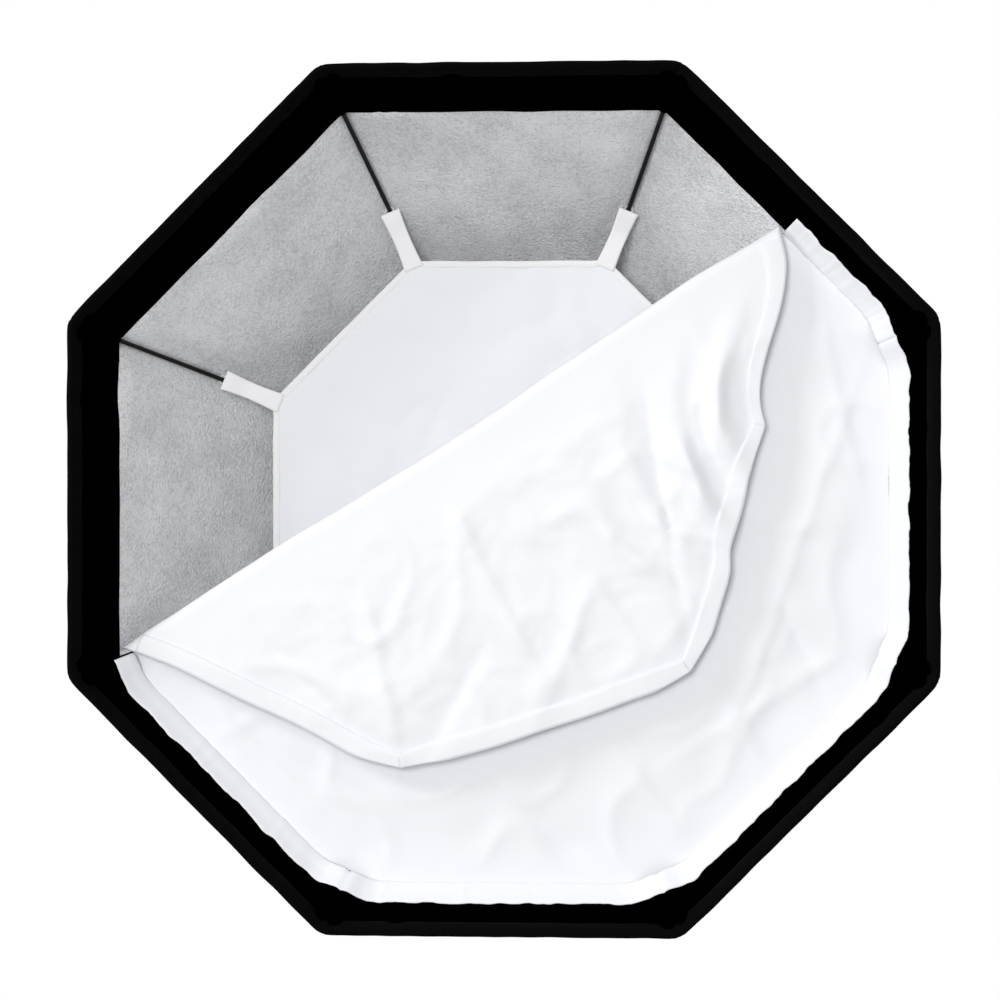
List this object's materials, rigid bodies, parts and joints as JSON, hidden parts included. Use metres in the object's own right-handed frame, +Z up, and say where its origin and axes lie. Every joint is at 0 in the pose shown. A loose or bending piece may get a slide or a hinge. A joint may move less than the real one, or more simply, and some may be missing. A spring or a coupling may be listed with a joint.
{
  "type": "octagonal studio softbox",
  "caption": "Octagonal rod-frame softbox with silver lining, inner diffuser, folding front diffuser and a rotating speedring.",
  "frame": {"origin": "centre of the bayonet ring's lamp seat, on the light bore's axis", "axes": "+Y along the light axis towards the lamp, so the lit front faces -Y; +Z up; +X to the right seen from the front"},
  "size_m": [0.9556, 0.4121, 0.9556],
  "materials": {
    "cast_metal": "satin cast",
    "ring_coat": "black anodised",
    "zinc_steel": "zinc plated",
    "black_rubber": "matt",
    "black_webbing": "woven tape",
    "loop_velour": "looped pile",
    "black_nylon": "fine woven nylon",
    "white_cloth": "translucent cloth",
    "white_tape": "woven tape",
    "black_plastic": "moulded",
    "rod_steel": "black coated spring steel",
    "silver_lining": "metallised cloth"
  },
  "bodies": {
    "mount": {"bayonet_ring": "cast_metal"},
    "box": {"speedring": "ring_coat", "ring_screws": "zinc_steel", "retaining_ring": "ring_coat", "rod_ferrules": "zinc_steel", "rod_tips": "black_rubber", "corner_pockets": "black_webbing", "loop_bands": "loop_velour", "seam_bindings": "black_webbing", "rim_binding": "black_webbing", "rear_cuff": "black_nylon", "cuff_strap": "black_webbing", "inner_diffuser": "white_cloth", "inner_binding": "white_tape", "inner_straps": "white_tape", "front_diffuser": "white_cloth", "front_hem": "white_tape", "rod_1": "rod_steel", "rod_2": "rod_steel", "rod_3": "rod_steel", "rod_4": "rod_steel", "rod_5": "rod_steel", "rod_6": "rod_steel", "rod_7": "rod_steel", "rod_8": "rod_steel", "shell_panel_1": "black_nylon", "shell_panel_2": "black_nylon", "shell_panel_3": "black_nylon", "shell_panel_4": "black_nylon", "shell_panel_5": "black_nylon", "shell_panel_6": "black_nylon", "shell_panel_7": "black_nylon", "shell_panel_8": "black_nylon", "lining_panel_1": "silver_lining", "lining_panel_2": "silver_lining", "lining_panel_3": "silver_lining", "lining_panel_4": "silver_lining", "lining_panel_5": "silver_lining", "lining_panel_6": "silver_lining", "lining_panel_7": "silver_lining", "lining_panel_8": "silver_lining"},
    "flap": {"diffuser_flap": "white_cloth", "flap_hem": "white_tape"},
    "screw_1": {"clamp_screw_1": "black_plastic"},
    "screw_2": {"clamp_screw_2": "black_plastic"},
    "screw_3": {"clamp_screw_3": "black_plastic"},
    "screw_4": {"clamp_screw_4": "black_plastic"}
  },
  "joints": [
    {"name": "canopy_turn", "type": "hinge", "parent": "mount", "child": "box", "pos_m": [0, 0, 0], "axis": [0, 1, 0], "continuous": true},
    {"name": "flap_fold", "type": "hinge", "parent": "box", "child": "flap", "pos_m": [-0.43133, -0.3505, -0.17866], "axis": [-0.8423, 0, -0.5391], "range_deg": [0, 180]},
    {"name": "clamp_screw_1", "type": "hinge", "parent": "box", "child": "screw_1", "pos_m": [0.09, -0.0065, 0], "axis": [1, 0, 0], "continuous": true},
    {"name": "clamp_screw_2", "type": "hinge", "parent": "box", "child": "screw_2", "pos_m": [0, -0.0065, -0.09], "axis": [0, 0, -1], "continuous": true},
    {"name": "clamp_screw_3", "type": "hinge", "parent": "box", "child": "screw_3", "pos_m": [-0.09, -0.0065, 0], "axis": [-1, 0, 0], "continuous": true},
    {"name": "clamp_screw_4", "type": "hinge", "parent": "box", "child": "screw_4", "pos_m": [0, -0.0065, 0.09], "axis": [0, 0, 1], "continuous": true}
  ]
}
